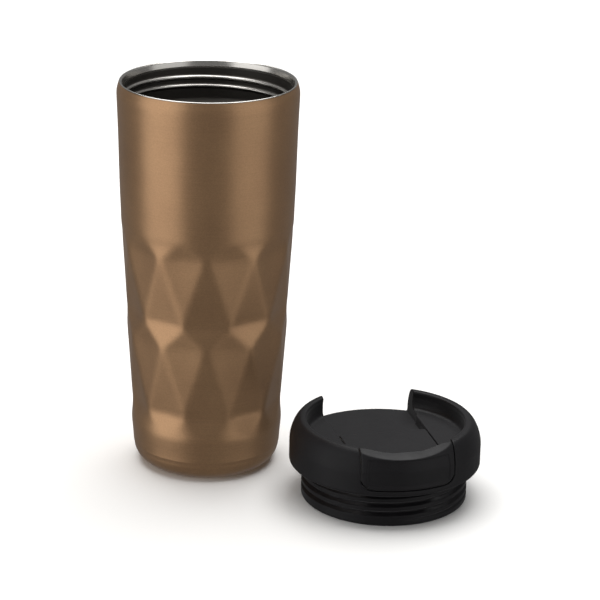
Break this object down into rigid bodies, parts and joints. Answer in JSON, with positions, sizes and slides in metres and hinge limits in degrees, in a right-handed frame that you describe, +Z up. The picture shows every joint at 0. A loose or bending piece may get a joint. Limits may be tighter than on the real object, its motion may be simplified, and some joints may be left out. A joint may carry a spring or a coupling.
{
  "type": "insulated tumbler with lid",
  "caption": "Double-walled steel travel tumbler with a faceted wall, standing beside its screw-in lid with a flip-over drinking lever.",
  "frame": {"origin": "centre of the tumbler's flat base cover, on the surface that it stands on", "axes": "+Z up along the tumbler's axis; the lid stands on the same surface towards +X and -Y, with its front towards -Y, turned 14.3 degrees towards +X"},
  "size_m": [0.1583, 0.1174, 0.172],
  "materials": {
    "bronze_paint": "satin metallic bronze lacquer over finely brushed steel",
    "polished_steel": "polished stainless steel",
    "plain_steel": "brushed stainless steel",
    "black_plastic": "satin moulded polypropylene",
    "silicone": "matt silicone",
    "resin": "hardened sealing resin",
    "getter_metal": "sintered metal"
  },
  "bodies": {
    "tumbler": {"outer_shell": "bronze_paint", "lining_tube": "polished_steel", "lining_bottom": "polished_steel", "inner_base": "plain_steel", "seal_plug": "resin", "getter_tray": "plain_steel", "getter_pill": "getter_metal", "base_cover": "plain_steel"},
    "gasket": {"lid_gasket": "silicone"},
    "lid": {"lid_body": "black_plastic", "lid_insert": "black_plastic", "hinge_pin_left": "plain_steel", "hinge_pin_right": "plain_steel"},
    "lever": {"flip_lever": "black_plastic", "drink_plug": "silicone", "vent_plug": "silicone"}
  },
  "joints": [
    {"name": "lid_lift", "type": "slide", "parent": "tumbler", "child": "gasket", "axis": [0, 0, 1], "range_m": [0, 0.2]},
    {"name": "lid_turn", "type": "hinge", "parent": "gasket", "child": "lid", "pos_m": [0.07827, -0.0373, 0.017], "axis": [0, 0, 1], "continuous": true},
    {"name": "lever_flip", "type": "hinge", "parent": "lid", "child": "lever", "pos_m": [0.07741, -0.03391, 0.0244], "axis": [-0.969, -0.247, 0], "range_deg": [0, 180]}
  ]
}
